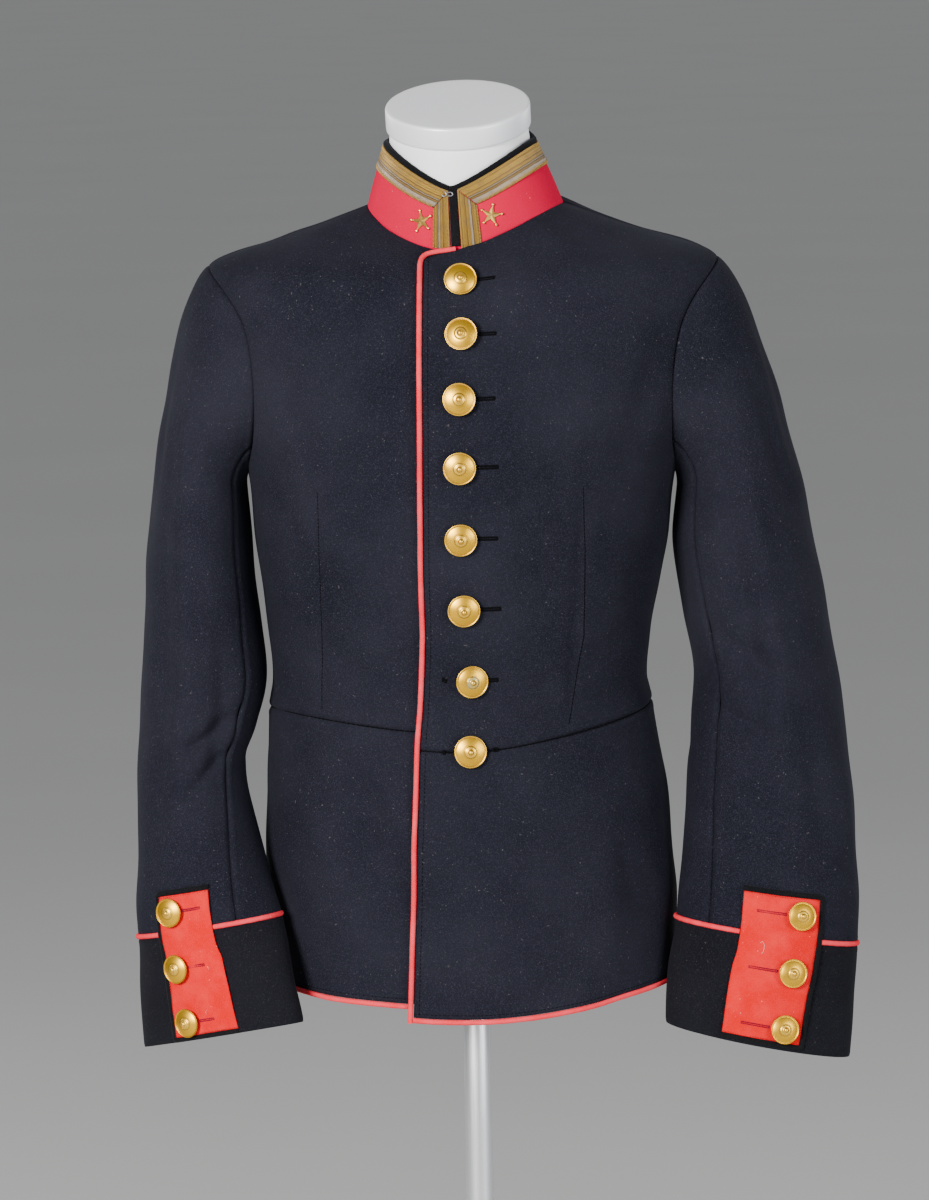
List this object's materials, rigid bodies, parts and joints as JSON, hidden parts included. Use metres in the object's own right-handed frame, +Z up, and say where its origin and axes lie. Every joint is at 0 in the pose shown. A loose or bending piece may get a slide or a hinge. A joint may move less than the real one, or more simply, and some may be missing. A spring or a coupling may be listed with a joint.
{
  "type": "short military dress tunic worn by a limbless dress form on a pole stand",
  "caption": "Short dark wool dress tunic with stand collar, gold lace, red piping and cuff flaps and gilt buttons, filled out by a limbless form on a pole and round base.",
  "frame": {"origin": "centre of the base plate's underside, on the floor", "axes": "+Z up along the pole, -Y out of the tunic's buttoned front, +X to the wearer's left"},
  "size_m": [0.5834, 0.34, 1.5379],
  "materials": {
    "navy_wool": "matte blue-black wool cloth",
    "red_cloth": "matte crimson wool cloth",
    "red_piping": "matte coral-red wool cord",
    "gold_lace": "woven metal lace, striped lengthwise",
    "black_cloth": "matte black cloth edging",
    "gilt": "gilt, satin disc and polished rim",
    "white_form": "matte white cover of the form",
    "silver_paint": "silver paint, satin",
    "white_metal": "plain wire",
    "brushed_metal": "brushed, satin"
  },
  "bodies": {
    "root": {"back_left": "navy_wool", "back_right": "navy_wool", "button_1": "gilt", "button_2": "gilt", "button_3": "gilt", "button_4": "gilt", "button_5": "gilt", "button_6": "gilt", "button_7": "gilt", "button_8": "gilt", "collar": "red_cloth", "collar_band": "black_cloth", "collar_cord": "black_cloth", "collar_eye": "white_metal", "collar_hook": "white_metal", "collar_lace_end_left": "gold_lace", "collar_lace_end_right": "gold_lace", "collar_lace_top": "gold_lace", "cuff_button_left_1": "gilt", "cuff_button_left_2": "gilt", "cuff_button_left_3": "gilt", "cuff_button_right_1": "gilt", "cuff_button_right_2": "gilt", "cuff_button_right_3": "gilt", "cuff_flap_left": "red_cloth", "cuff_flap_right": "red_cloth", "cuff_left": "navy_wool", "cuff_piping_left": "red_piping", "cuff_piping_right": "red_piping", "cuff_right": "navy_wool", "flap_edge_left": "black_cloth", "flap_edge_right": "black_cloth", "form_torso": "white_form", "front_left": "navy_wool", "front_piping": "red_piping", "front_right": "navy_wool", "hem_piping_left": "red_piping", "hem_piping_right": "red_piping", "neck_cap": "silver_paint", "skirt_back_left": "navy_wool", "skirt_back_right": "navy_wool", "skirt_front_left": "navy_wool", "skirt_front_right": "navy_wool", "stand_base": "brushed_metal", "stand_pole": "brushed_metal", "star_left": "gilt", "star_right": "gilt", "top_sleeve_left": "navy_wool", "top_sleeve_right": "navy_wool", "under_sleeve_left": "navy_wool", "under_sleeve_right": "navy_wool"}
  },
  "joints": []
}
